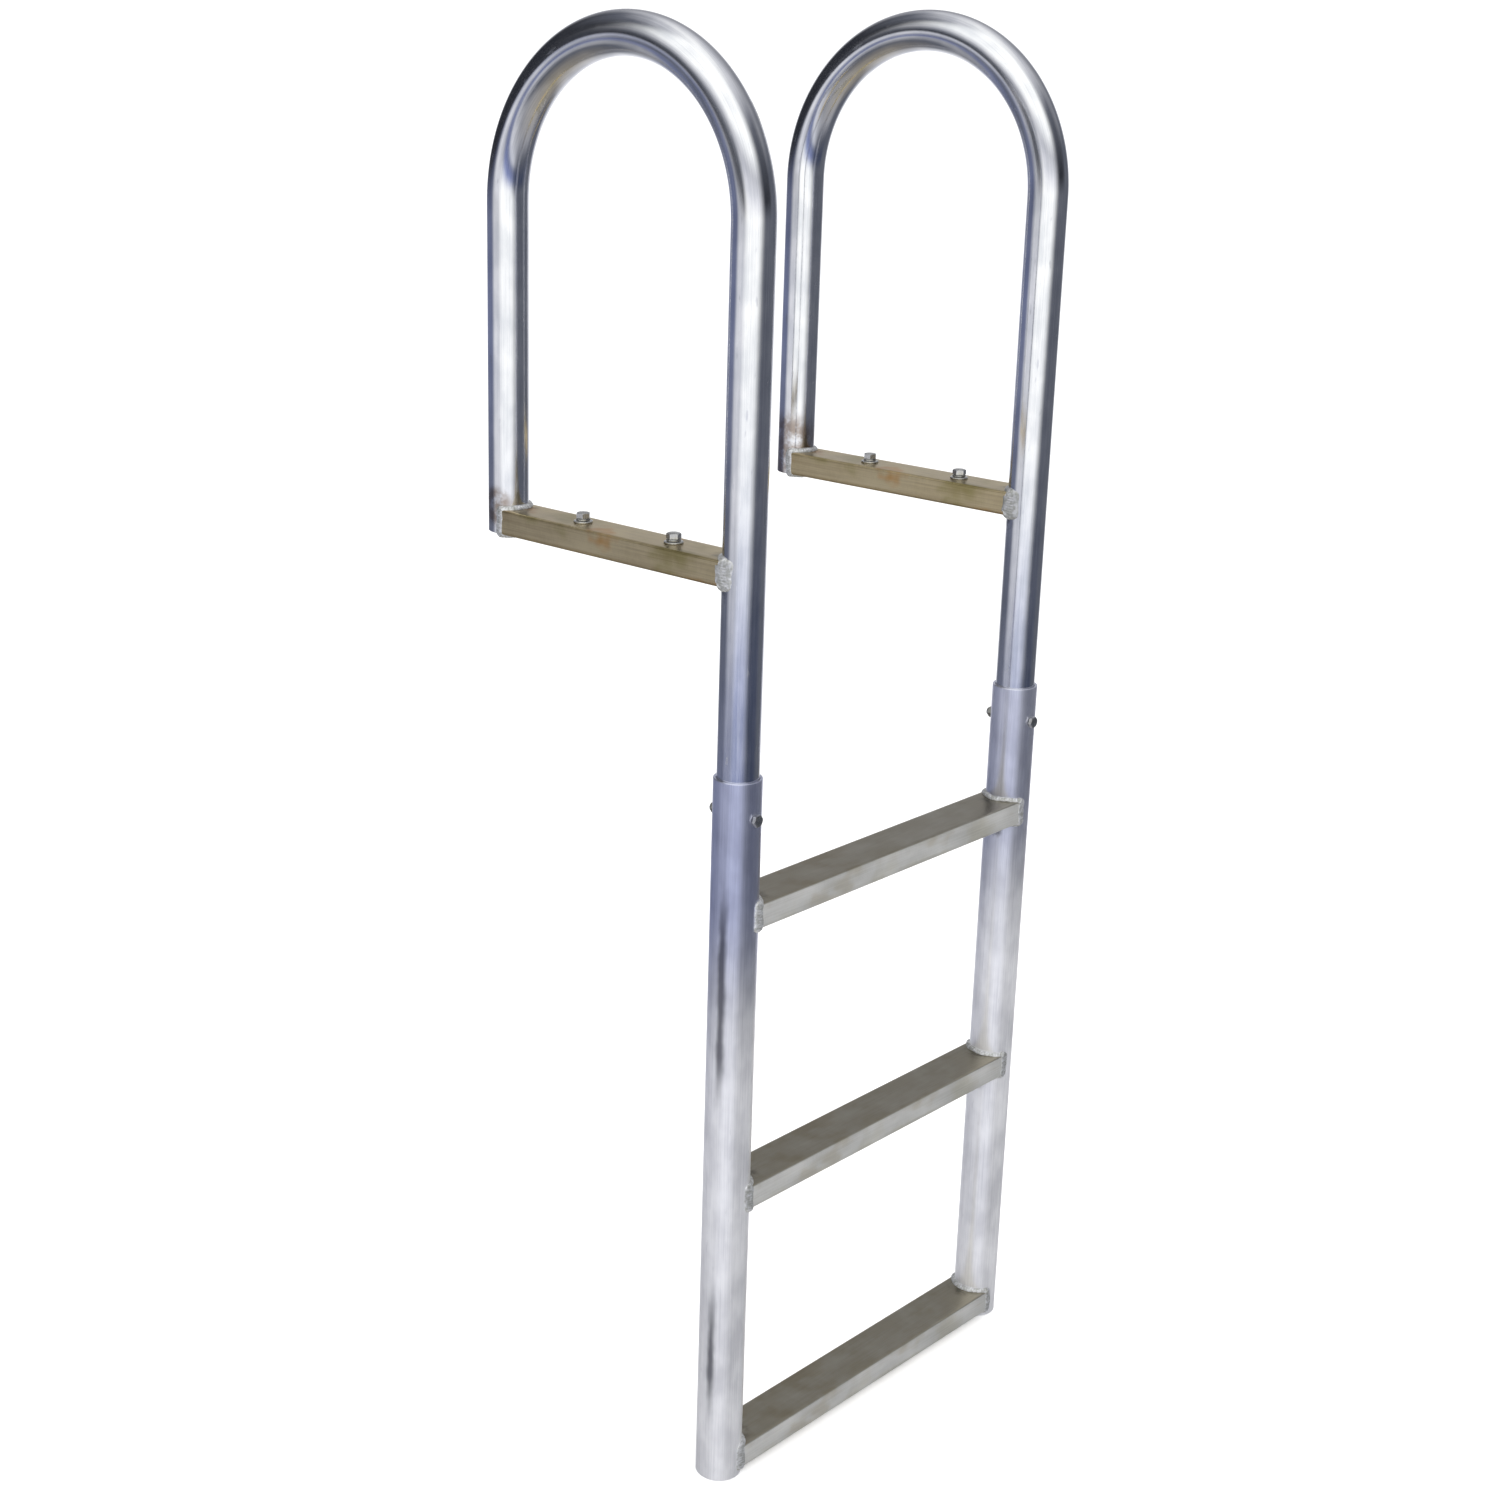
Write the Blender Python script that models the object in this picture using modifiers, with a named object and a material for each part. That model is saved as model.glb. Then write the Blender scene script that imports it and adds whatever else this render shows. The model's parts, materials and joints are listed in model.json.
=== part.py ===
"""A three-step fixed dock ladder of bent and extruded aluminium, in metres.

X runs across the ladder, from its left rail to its right rail as seen from the water. Y runs
from the water towards the dock, and Z is up. The origin is on the plane of the dock's deck,
midway between the two front legs.
"""

import math

import bmesh
import bpy
from mathutils import Matrix

INCH = 0.0254
GAP = 0.0003  # left between pieces that touch

# The two sides
RAIL_SPACING = 0.450  # between the axes of the two front legs
LOOP_DEPTH = 0.320  # from the front leg's axis to the back leg's axis
HAND_TUBE_RADIUS = 1.625 * INCH / 2
HAND_TUBE_WALL = 0.0030
HAND_BEND_CENTRE_Z = 0.3285
HAND_INSERTION = 0.075  # length of front leg inside the lower rail

# The ladder section
LOWER_TUBE_RADIUS = 1.875 * INCH / 2
LOWER_TUBE_WALL = 0.0028
SLEEVE_TOP_Z = -0.187
FOOT_Z = -0.957
STEP_COUNT = 3
STEP_SPACING = 12 * INCH
FIRST_STEP_TOP_Z = -0.314
STEP_DEPTH = 2 * INCH
STEP_HEIGHT = 1 * INCH
STEP_NAMES = ("step_upper", "step_middle", "step_lower")

# The deck bars
DECK_BAR_WIDTH = 1.75 * INCH
DECK_BAR_HEIGHT = 1 * INCH
DECK_BOLT_Y = (0.0895, 0.2120)
DECK_HOLE_RADIUS = 0.375 * INCH / 2

BOX_TUBE_WALL = 0.0030
BOX_TUBE_CORNER = 0.0024
BOX_TUBE_END_INSET = 0.0095  # from a round tube's axis to the square end of the bar on it

# The cross bolts that lock the handrails into the ladder section
CROSS_BOLT_Z = SLEEVE_TOP_Z - 0.038
CROSS_HOLE_RADIUS = 0.28125 * INCH / 2
CROSS_SHANK_RADIUS = 0.25 * INCH / 2
CROSS_BOLT_LENGTH = 2.25 * INCH
CROSS_HEAD_FLATS = 0.4375 * INCH
CROSS_HEAD_HEIGHT = 0.0041
CROSS_NUT_HEX_HEIGHT = 0.0056
CROSS_NUT_HEIGHT = 0.0079
CROSS_NUT_GAP = 0.0004

# The deck bolts and their washers
DECK_SHANK_RADIUS = 0.3125 * INCH / 2
DECK_BOLT_LENGTH = 1 * INCH
DECK_HEAD_FLATS = 0.5 * INCH
DECK_HEAD_HEIGHT = 0.0054
DECK_WASHER_OUTER = 0.0095
DECK_WASHER_INNER = 0.0044
DECK_WASHER_THICKNESS = 0.0016
LOCK_WASHER_OUTER = 0.0071
LOCK_WASHER_THICKNESS = 0.0020
LOCK_WASHER_SPLIT = 0.0012

TUBE_SIDES = 32
BORE_SIDES = 24
BEND_SEGMENTS = 26
FASTENER_SIDES = 24
HOLE_SIDES = 20
SHARP_ANGLE = math.radians(35)

Z_TO_Y = Matrix.Rotation(math.radians(90), 4, "X")
Z_TO_X = Matrix.Rotation(math.radians(90), 4, "Y")


def clear_scene():
    for obj in list(bpy.data.objects):
        bpy.data.objects.remove(obj, do_unlink=True)


def new_collection(name):
    collection = bpy.data.collections.new(name)
    bpy.context.scene.collection.children.link(collection)
    return collection


def metal(name, colour, roughness):
    """A bare metal surface."""
    material = bpy.data.materials.new(name)
    material.use_nodes = True
    shader = material.node_tree.nodes["Principled BSDF"]
    shader.inputs["Base Color"].default_value = (*colour, 1.0)
    shader.inputs["Roughness"].default_value = roughness
    shader.inputs["Metallic"].default_value = 1.0
    return material


def scratch_object(mesh):
    """A short-lived object, which evaluated() takes away again."""
    obj = bpy.data.objects.new("scratch", mesh)
    bpy.context.scene.collection.objects.link(obj)
    return obj


def evaluated(obj, name):
    """The object's mesh with its modifiers or its curve's bevel applied, welded and facing out."""
    bpy.context.view_layer.update()
    graph = bpy.context.evaluated_depsgraph_get()
    mesh = bpy.data.meshes.new_from_object(obj.evaluated_get(graph))
    mesh.name = name
    form = bmesh.new()
    form.from_mesh(mesh)
    bmesh.ops.remove_doubles(form, verts=form.verts, dist=1e-6)
    bmesh.ops.recalc_face_normals(form, faces=form.faces)
    form.to_mesh(mesh)
    form.free()
    bpy.data.objects.remove(obj)
    return mesh


def combined(mesh, others, operation):
    """The mesh after a Boolean with each of the other meshes."""
    obj = scratch_object(mesh)
    tools = [scratch_object(other) for other in others]
    for tool in tools:
        modifier = obj.modifiers.new("boolean", "BOOLEAN")
        modifier.operation = operation
        modifier.object = tool
    result = evaluated(obj, mesh.name)
    for tool in tools:
        bpy.data.objects.remove(tool)
    return result


def cylinder(radius, low, high, sides=HOLE_SIDES, turn=Matrix.Identity(4)):
    """A closed cylinder or prism on the Z axis, from low to high, then turned and moved."""
    form = bmesh.new()
    place = Matrix.Translation((0, 0, (low + high) / 2))
    bmesh.ops.create_cone(
        form,
        cap_ends=True,
        segments=sides,
        radius1=radius,
        radius2=radius,
        depth=high - low,
        matrix=turn @ place,
    )
    mesh = bpy.data.meshes.new("cylinder")
    form.to_mesh(mesh)
    form.free()
    return mesh


def turned(name, profile, closed, sides):
    """A profile of (radius, height) points, down its outer side, turned about the Z axis."""
    count = len(profile)
    edges = [(i, (i + 1) % count) for i in range(count if closed else count - 1)]
    mesh = bpy.data.meshes.new(name)
    mesh.from_pydata([(radius, 0, height) for radius, height in profile], edges, [])
    obj = scratch_object(mesh)
    screw = obj.modifiers.new("turn", "SCREW")
    screw.steps = sides
    screw.render_steps = sides
    screw.use_merge_vertices = True
    screw.merge_threshold = 0.00005
    return evaluated(obj, name)


def swept(name, points, radius, sides):
    """A round bar along a path."""
    curve = bpy.data.curves.new(name, "CURVE")
    curve.dimensions = "3D"
    curve.bevel_depth = radius
    curve.bevel_resolution = (sides - 4) // 2
    curve.use_fill_caps = True
    spline = curve.splines.new("POLY")
    spline.points.add(len(points) - 1)
    for point, place in zip(spline.points, points):
        point.co = (*place, 1)
    return evaluated(scratch_object(curve), name)


def rounded_rectangle(width, height, radius, corner_points=4):
    points = []
    for corner in range(4):
        side_x = (1, -1, -1, 1)[corner]
        side_y = (1, 1, -1, -1)[corner]
        centre_x = side_x * (width / 2 - radius)
        centre_y = side_y * (height / 2 - radius)
        for i in range(corner_points):
            angle = math.radians(90) * (corner + i / (corner_points - 1))
            x = centre_x + radius * math.cos(angle)
            y = centre_y + radius * math.sin(angle)
            points.append((x, y))
    return points


def box_tube(name, width, height, length):
    """A hollow rectangular extrusion along the Z axis, centred on the origin."""
    curve = bpy.data.curves.new(name, "CURVE")
    curve.dimensions = "2D"
    curve.fill_mode = "BOTH"
    curve.extrude = length / 2
    inner_corner = BOX_TUBE_CORNER / 2
    outlines = (
        rounded_rectangle(width, height, BOX_TUBE_CORNER),
        rounded_rectangle(width - 2 * BOX_TUBE_WALL, height - 2 * BOX_TUBE_WALL, inner_corner),
    )
    for outline in outlines:
        spline = curve.splines.new("POLY")
        spline.points.add(len(outline) - 1)
        for point, (x, y) in zip(spline.points, outline):
            point.co = (x, y, 0, 1)
        spline.use_cyclic_u = True
    return evaluated(scratch_object(curve), name)


def handrail_path(overrun=0.0):
    """Up the front leg, round the half circle and down the back leg."""
    bend = LOOP_DEPTH / 2
    points = [(0, 0, SLEEVE_TOP_Z - HAND_INSERTION - overrun)]
    for i in range(BEND_SEGMENTS + 1):
        angle = math.pi * i / BEND_SEGMENTS
        y = bend - bend * math.cos(angle)
        z = HAND_BEND_CENTRE_Z + bend * math.sin(angle)
        points.append((0, y, z))
    points.append((0, LOOP_DEPTH, -overrun))
    return points


def handrail_mesh():
    """One bent tube, drilled through its front leg for the cross bolt."""
    outside = swept("handrail", handrail_path(), HAND_TUBE_RADIUS, TUBE_SIDES)
    bore_radius = HAND_TUBE_RADIUS - HAND_TUBE_WALL
    bore = swept("bore", handrail_path(0.005), bore_radius, BORE_SIDES)
    at_bolt = Matrix.Translation((0, 0, CROSS_BOLT_Z)) @ Z_TO_Y
    hole = cylinder(CROSS_HOLE_RADIUS, -0.03, 0.03, turn=at_bolt)
    return combined(outside, (bore, hole), "DIFFERENCE")


def deck_bar_mesh():
    """A box tube between the legs, coped round them and drilled for the deck bolts."""
    length = LOOP_DEPTH - 2 * BOX_TUBE_END_INSET
    bar = box_tube("deck_bar", DECK_BAR_WIDTH, DECK_BAR_HEIGHT, length)
    bar.transform(Matrix.Translation((0, LOOP_DEPTH / 2, DECK_BAR_HEIGHT / 2)) @ Z_TO_Y)
    below, above = -0.01, DECK_BAR_HEIGHT + 0.01
    cutters = []
    for y in (0, LOOP_DEPTH):
        at_leg = Matrix.Translation((0, y, 0))
        cutters.append(cylinder(HAND_TUBE_RADIUS + GAP, below, above, TUBE_SIDES, at_leg))
    for y in DECK_BOLT_Y:
        at_hole = Matrix.Translation((0, y, 0))
        cutters.append(cylinder(DECK_HOLE_RADIUS, below, above, turn=at_hole))
    return combined(bar, cutters, "DIFFERENCE")


def lower_rail_mesh():
    """A straight tube, which is the sleeve of the handrail's leg, with its cut ends broken."""
    outer = LOWER_TUBE_RADIUS
    inner = LOWER_TUBE_RADIUS - LOWER_TUBE_WALL
    edge = 0.0006
    profile = (
        (outer - edge, SLEEVE_TOP_Z),
        (outer, SLEEVE_TOP_Z - edge),
        (outer, FOOT_Z + edge),
        (outer - edge, FOOT_Z),
        (inner + edge, FOOT_Z),
        (inner, FOOT_Z + edge),
        (inner, SLEEVE_TOP_Z - edge),
        (inner + edge, SLEEVE_TOP_Z),
    )
    tube = turned("lower_rail", profile, True, TUBE_SIDES)
    at_bolt = Matrix.Translation((0, 0, CROSS_BOLT_Z)) @ Z_TO_Y
    hole = cylinder(CROSS_HOLE_RADIUS, -0.03, 0.03, turn=at_bolt)
    return combined(tube, (hole,), "DIFFERENCE")


def step_mesh():
    """A box tube between the rails, coped round them, its top face at z = 0."""
    length = RAIL_SPACING - 2 * BOX_TUBE_END_INSET
    step = box_tube("step", STEP_HEIGHT, STEP_DEPTH, length)
    step.transform(Matrix.Translation((0, 0, -STEP_HEIGHT / 2)) @ Z_TO_X)
    copes = []
    for x in (-RAIL_SPACING / 2, RAIL_SPACING / 2):
        at_rail = Matrix.Translation((x, 0, 0))
        copes.append(
            cylinder(LOWER_TUBE_RADIUS + GAP, -STEP_HEIGHT - 0.01, 0.01, TUBE_SIDES, at_rail)
        )
    return combined(step, copes, "DIFFERENCE")


def hexagon(flats, low, high):
    return cylinder(flats / 2 / math.cos(math.radians(30)), low, high, 6)


def hex_bolt_mesh(name, shank_radius, length, flats, head_height):
    """A bolt with its head above z = 0 and its shank below."""
    corner = flats / 2 / math.cos(math.radians(30))
    chamfer = corner - 0.95 * flats / 2
    crown = turned(
        "crown",
        (
            (0, head_height),
            (corner - chamfer, head_height),
            (corner + 0.0005, head_height - chamfer * 0.75),
            (corner + 0.0005, -0.001),
            (0, -0.001),
        ),
        False,
        FASTENER_SIDES,
    )
    head = combined(hexagon(flats, 0, head_height + 0.001), (crown,), "INTERSECT")
    point = 0.0008
    shank = turned(
        "shank",
        (
            (0, head_height / 2),
            (shank_radius, head_height / 2),
            (shank_radius, -length + point),
            (shank_radius - point, -length),
            (0, -length),
        ),
        False,
        FASTENER_SIDES,
    )
    bolt = combined(head, (shank,), "UNION")
    bolt.name = name
    return bolt


def lock_nut_mesh():
    """A hex nut with a domed top over its nylon ring, standing on z = 0."""
    flats = CROSS_HEAD_FLATS
    corner = flats / 2 / math.cos(math.radians(30))
    dome = 0.93 * flats / 2
    crown = turned(
        "crown",
        (
            (0, CROSS_NUT_HEIGHT),
            (dome - 0.0012, CROSS_NUT_HEIGHT),
            (dome, CROSS_NUT_HEIGHT - 0.0008),
            (corner + 0.0005, CROSS_NUT_HEX_HEIGHT - 0.0010),
            (corner + 0.0005, -0.001),
            (0, -0.001),
        ),
        False,
        FASTENER_SIDES,
    )
    nut = combined(hexagon(flats, 0, CROSS_NUT_HEIGHT + 0.001), (crown,), "INTERSECT")
    hole = cylinder(CROSS_SHANK_RADIUS + CROSS_NUT_GAP, -0.01, 0.02, FASTENER_SIDES)
    nut = combined(nut, (hole,), "DIFFERENCE")
    nut.name = "cross_nut"
    return nut


def washer_mesh(name, outer, thickness):
    edge = 0.0003
    profile = (
        (outer - edge, thickness),
        (outer, thickness - edge),
        (outer, edge),
        (outer - edge, 0),
        (DECK_WASHER_INNER, 0),
        (DECK_WASHER_INNER, thickness),
    )
    return turned(name, profile, True, FASTENER_SIDES)


def lock_washer_mesh():
    """A spring ring with one slanted split."""
    ring = washer_mesh("lock_washer", LOCK_WASHER_OUTER, LOCK_WASHER_THICKNESS)
    form = bmesh.new()
    across = LOCK_WASHER_OUTER - DECK_WASHER_INNER
    slant = Matrix.Rotation(math.radians(30), 4, "Y")
    place = Matrix.Translation((0, DECK_WASHER_INNER + across / 2, LOCK_WASHER_THICKNESS / 2))
    size = Matrix.Diagonal((LOCK_WASHER_SPLIT, 2 * across, 4 * LOCK_WASHER_THICKNESS, 1))
    bmesh.ops.create_cube(form, size=1, matrix=place @ slant @ size)
    split = bpy.data.meshes.new("split")
    form.to_mesh(split)
    form.free()
    return combined(ring, (split,), "DIFFERENCE")


def place(name, mesh, material, collection, location=(0, 0, 0), turn=(0, 0, 0), parent=None):
    """One named piece. Copies of a piece share its mesh."""
    if not mesh.materials:
        mesh.materials.append(material)
        mesh.shade_smooth()
        mesh.set_sharp_from_angle(angle=SHARP_ANGLE)
    obj = bpy.data.objects.new(name, mesh)
    obj.location = location
    obj.rotation_euler = [math.radians(angle) for angle in turn]
    obj.parent = parent
    collection.objects.link(obj)
    return obj


def make_side(side, x, meshes, metals, collection):
    """A handrail, its deck bar and its lower rail, with their bolts, on one side's empty."""
    origin = bpy.data.objects.new("side_" + side, None)
    origin.location = (x, 0, 0)
    collection.objects.link(origin)

    def add(piece, kind, material, location=(0, 0, 0), turn=(0, 0, 0)):
        place(f"{piece}_{side}", meshes[kind], metals[material], collection, location, turn, origin)

    add("handrail", "handrail", "bright")
    add("deck_bar", "deck_bar", "extruded")
    add("lower_rail", "lower_rail", "satin")

    bearing = LOWER_TUBE_RADIUS + GAP
    add("cross_bolt", "cross_bolt", "steel", (0, -bearing, CROSS_BOLT_Z), (90, 0, 0))
    add("cross_nut", "cross_nut", "steel", (0, bearing, CROSS_BOLT_Z), (-90, 0, 0))

    washer_z = DECK_BAR_HEIGHT + GAP
    lock_z = washer_z + DECK_WASHER_THICKNESS + GAP
    head_z = lock_z + LOCK_WASHER_THICKNESS + GAP
    for end, y, spin in zip(("front", "back"), DECK_BOLT_Y, (12, 40)):
        add(f"flat_washer_{end}", "flat_washer", "steel", (0, y, washer_z))
        add(f"lock_washer_{end}", "lock_washer", "steel", (0, y, lock_z), (0, 0, spin))
        add(f"deck_bolt_{end}", "deck_bolt", "steel", (0, y, head_z), (0, 0, spin))


def make_ladder():
    collection = new_collection("dock_ladder")
    metals = {
        "bright": metal("bright_aluminium", (0.80, 0.81, 0.84), 0.22),
        "satin": metal("satin_aluminium", (0.74, 0.75, 0.77), 0.34),
        "extruded": metal("extruded_aluminium", (0.62, 0.62, 0.60), 0.38),
        "steel": metal("fastener_steel", (0.55, 0.55, 0.54), 0.30),
    }
    meshes = {
        "handrail": handrail_mesh(),
        "deck_bar": deck_bar_mesh(),
        "lower_rail": lower_rail_mesh(),
        "step": step_mesh(),
        "cross_bolt": hex_bolt_mesh(
            "cross_bolt",
            CROSS_SHANK_RADIUS,
            CROSS_BOLT_LENGTH,
            CROSS_HEAD_FLATS,
            CROSS_HEAD_HEIGHT,
        ),
        "cross_nut": lock_nut_mesh(),
        "deck_bolt": hex_bolt_mesh(
            "deck_bolt",
            DECK_SHANK_RADIUS,
            DECK_BOLT_LENGTH,
            DECK_HEAD_FLATS,
            DECK_HEAD_HEIGHT,
        ),
        "flat_washer": washer_mesh("flat_washer", DECK_WASHER_OUTER, DECK_WASHER_THICKNESS),
        "lock_washer": lock_washer_mesh(),
    }
    make_side("left", -RAIL_SPACING / 2, meshes, metals, collection)
    make_side("right", RAIL_SPACING / 2, meshes, metals, collection)
    for i in range(STEP_COUNT):
        top = (0, 0, FIRST_STEP_TOP_Z - i * STEP_SPACING)
        place(STEP_NAMES[i], meshes["step"], metals["extruded"], collection, top)


clear_scene()
make_ladder()
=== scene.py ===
"""The looks of a three-step fixed dock ladder of bare aluminium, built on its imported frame.

Each tube, bar and step is rebuilt as a fine closed mesh inside the space that its CAD node
holds. The weld beads that join them, the threads and the chamfered hex heads are added. X runs
across the ladder, Y from the water to the dock, Z up, all in metres.
"""

import json
import math

import bmesh
import bpy
import numpy as np
from mathutils import Matrix, Vector

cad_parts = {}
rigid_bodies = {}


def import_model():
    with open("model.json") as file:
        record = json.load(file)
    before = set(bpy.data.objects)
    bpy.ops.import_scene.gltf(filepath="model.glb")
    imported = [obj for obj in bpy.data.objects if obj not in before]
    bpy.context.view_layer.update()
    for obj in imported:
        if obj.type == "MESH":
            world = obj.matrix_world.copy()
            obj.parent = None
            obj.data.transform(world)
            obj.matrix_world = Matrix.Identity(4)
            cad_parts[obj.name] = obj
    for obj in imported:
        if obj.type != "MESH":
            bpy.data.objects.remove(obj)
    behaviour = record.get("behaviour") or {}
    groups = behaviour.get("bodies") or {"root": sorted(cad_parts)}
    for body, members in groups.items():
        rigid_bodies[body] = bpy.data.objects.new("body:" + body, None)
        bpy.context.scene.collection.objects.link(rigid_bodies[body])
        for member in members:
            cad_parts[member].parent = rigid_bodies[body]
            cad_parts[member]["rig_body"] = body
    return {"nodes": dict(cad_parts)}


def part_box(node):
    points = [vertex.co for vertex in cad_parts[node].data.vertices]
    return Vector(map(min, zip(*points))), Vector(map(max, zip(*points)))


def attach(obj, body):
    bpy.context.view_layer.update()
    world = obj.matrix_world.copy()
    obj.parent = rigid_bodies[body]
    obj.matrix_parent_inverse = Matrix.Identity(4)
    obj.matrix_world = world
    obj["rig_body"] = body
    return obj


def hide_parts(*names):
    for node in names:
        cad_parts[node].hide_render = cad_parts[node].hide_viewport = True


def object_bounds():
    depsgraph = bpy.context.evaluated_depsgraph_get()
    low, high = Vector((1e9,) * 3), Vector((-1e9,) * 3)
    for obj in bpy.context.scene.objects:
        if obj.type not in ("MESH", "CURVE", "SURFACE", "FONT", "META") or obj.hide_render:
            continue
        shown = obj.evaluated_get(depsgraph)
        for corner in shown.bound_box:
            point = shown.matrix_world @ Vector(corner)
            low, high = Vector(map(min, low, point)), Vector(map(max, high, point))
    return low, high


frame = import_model()
CAD_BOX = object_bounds()

SIDES = ("left", "right")
STEPS = ("upper", "middle", "lower")
DECK_ENDS = ("front", "back")
NODES = frame["nodes"]

# Sizes that no node's box gives
HAND_TUBE_WALL = 0.0030
LOWER_TUBE_WALL = 0.0028
BOX_TUBE_WALL = 0.0030
BOX_TUBE_CORNER = 0.0024
BOX_TUBE_END_INSET = 0.0095
JOINT_GAP = 0.0003
CUT_EDGE = 0.0006
# Hexes are measured across their flats. A bolt's thread runs up from its tip.
CROSS_BOLT = {"flats": 0.0111, "head": 0.0041, "radius": 0.00318, "thread": 0.019, "pitch": 0.00127}
DECK_BOLT = {"flats": 0.0127, "head": 0.0054, "radius": 0.00397, "thread": 0.022, "pitch": 0.00141}
CROSS_NUT = {"flats": 0.0111, "hex_height": 0.0056, "bore": 0.00325}
WASHER_BORE = 0.0044
HEX_CHAMFER = math.tan(math.radians(28))
THREAD_POINT = 0.0009
# How far each bolt was turned when it was tight, in degrees
CROSS_SPIN = 8
DECK_SPINS = {"front": 12, "back": 40}
# Weld beads. Wrap and creep say how a bead fills the slots beside a bar, as make_weld tells.
STEP_WELD = {"width": 0.0068, "height": 0.0020, "wrap": 0.0026, "creep": 0.0010}
DECK_WELDS = {
    "front": {"width": 0.0072, "height": 0.0022, "wrap": 0.0062, "creep": 0.0032},
    "back": {"width": 0.0072, "height": 0.0022, "wrap": 0.0014, "creep": 0.0004},
}
RIPPLE_PITCH = 0.0028
WELD_WANDER = 0.0010

# Fineness of the meshes
TUBE_SIDES = 72
BEND_RINGS = 96
LEG_RINGS = 24
RAIL_RINGS = 40
BAR_RINGS = 24
BAR_END_MARGIN = 0.006
WELD_SIDES = 18
WELD_SPACING = 0.00045
HEX_SIDES = 72
THREAD_RINGS_PER_TURN = 8
WASHER_SIDES = 64
SPLIT_RINGS = 60
SHARP_ANGLE = math.radians(32)

# Down the side rails the white haze grows and the painted blue reflection fades, from HIGH_Z to each
# LOW_Z
HIGH_Z = -0.30
HAZE_LOW_Z = -0.54
BLUE_REFLECTION_LOW_Z = -0.44
# Marks beside the welds: the colour, and the patchy noise's values where they begin and are full
TUBE_SOOT = ("4a4843", 0.40, 0.68)
BAR_SOOT = ("403a32", 0.40, 0.68)
HEAT_MARK = ("8c745e", 0.24, 0.60)
# How far the marks reach from the middle of each spot, and how far along a bar its own spot lies
SOOT_REACH = {"handrail": 0.013, "deck_bar": 0.024, "lower_rail": 0.014, "step": 0.026}
HEAT_REACH = {"left": 0.024, "right": 0.050}
SOOT_AHEAD = {"deck_bar": 0.020, "step": 0.022}
# Heights above a bar's middle between which the painted shade, with some dirt, on its top face and the
# patchy darkening of its foot set in
SHADED_TOP_RISE = (0.0112, 0.01265)
FOOT_RISE = (-0.0115, -0.0070)
DRAG_COLOUR = "5c5c64"
# The left rail's drag marks: degrees round the tube from X, and the lowest and highest place on it
LEFT_DRAGS = ((-167, 0.06, 0.25), (-165, 0.42, 0.69))

# Camera
CAMERA_PLACE = (-1.75995, -1.34375, 0.51449)
CAMERA_YAW = 0.77546
CAMERA_PITCH = 0.30744
CAMERA_ROLL = 0.00576
CAMERA_LENS = 54.275
CAMERA_SHIFT = (0.1167, -0.02)


# ---------------------------------------------------------------- meshes

def circle(count):
    return np.arange(count) * 2 * math.pi / count


def skin(name, rings, straight, path_closed=False):
    """One closed object over rings of points along a path, which is capped unless it closes.

    Each point also keeps its place on the straight stock, which the materials follow.
    """
    rings = np.asarray(rings, float)
    straight = np.asarray(straight, float)
    ring_count, side_count = rings.shape[:2]
    form = bmesh.new()
    layer = form.verts.layers.float_vector.new("straight")
    grid = []
    for i in range(ring_count):
        row = [form.verts.new(point) for point in rings[i]]
        for vertex, place in zip(row, straight[i]):
            vertex[layer] = place
        grid.append(row)
    for i in range(ring_count if path_closed else ring_count - 1):
        here, there = grid[i], grid[(i + 1) % ring_count]
        for j in range(side_count):
            k = (j + 1) % side_count
            form.faces.new((here[j], here[k], there[k], there[j]))
    if not path_closed:
        form.faces.new(grid[0][::-1])
        form.faces.new(grid[-1])
    bmesh.ops.recalc_face_normals(form, faces=form.faces)
    mesh = bpy.data.meshes.new(name)
    form.to_mesh(mesh)
    form.free()
    mesh.shade_smooth()
    mesh.set_sharp_from_angle(angle=SHARP_ANGLE)
    obj = bpy.data.objects.new(name, mesh)
    bpy.context.scene.collection.objects.link(obj)
    return obj


def finished(obj, body, slot, material, *nodes):
    """The piece with its material, riding on its body and standing for its CAD nodes."""
    obj.data.materials.append(material)
    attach(obj, body)
    if nodes:
        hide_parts(*nodes)
    return obj


def body_of_node(node):
    return NODES[node]["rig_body"]


def centre_of(node):
    low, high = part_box(node)
    return (low + high) / 2


def tube_skin(name, centres, across, up, lengths, outer, wall):
    """A hollow tube along a path, as one closed skin: outside, two broken cut edges and bore.

    Across and up span its section at each centre, and lengths are measured along the path.
    """
    inner = outer - wall
    edge = CUT_EDGE
    angles = circle(TUBE_SIDES)
    turn = np.stack([np.cos(angles), np.sin(angles)], axis=1)
    last = len(centres) - 1
    stations = [(0, outer - edge, 0), (0, outer, edge)]
    stations += [(i, outer, 0) for i in range(1, last)]
    stations += [(last, outer, -edge), (last, outer - edge, 0)]
    stations += [(last, inner + edge, 0), (last, inner, -edge)]
    stations += [(i, inner, 0) for i in range(last - 1, 0, -1)]
    stations += [(0, inner, edge), (0, inner + edge, 0)]
    rings, straight = [], []
    for i, radius, along in stations:
        forward = np.cross(across[i], up[i])
        centre = centres[i] + forward * along
        rings.append(centre + radius * (turn[:, :1] * across[i] + turn[:, 1:] * up[i]))
        length = np.full((TUBE_SIDES, 1), lengths[i] + along)
        straight.append(np.hstack([radius * turn, length]))
    return skin(name, rings, straight, path_closed=True)


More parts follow.
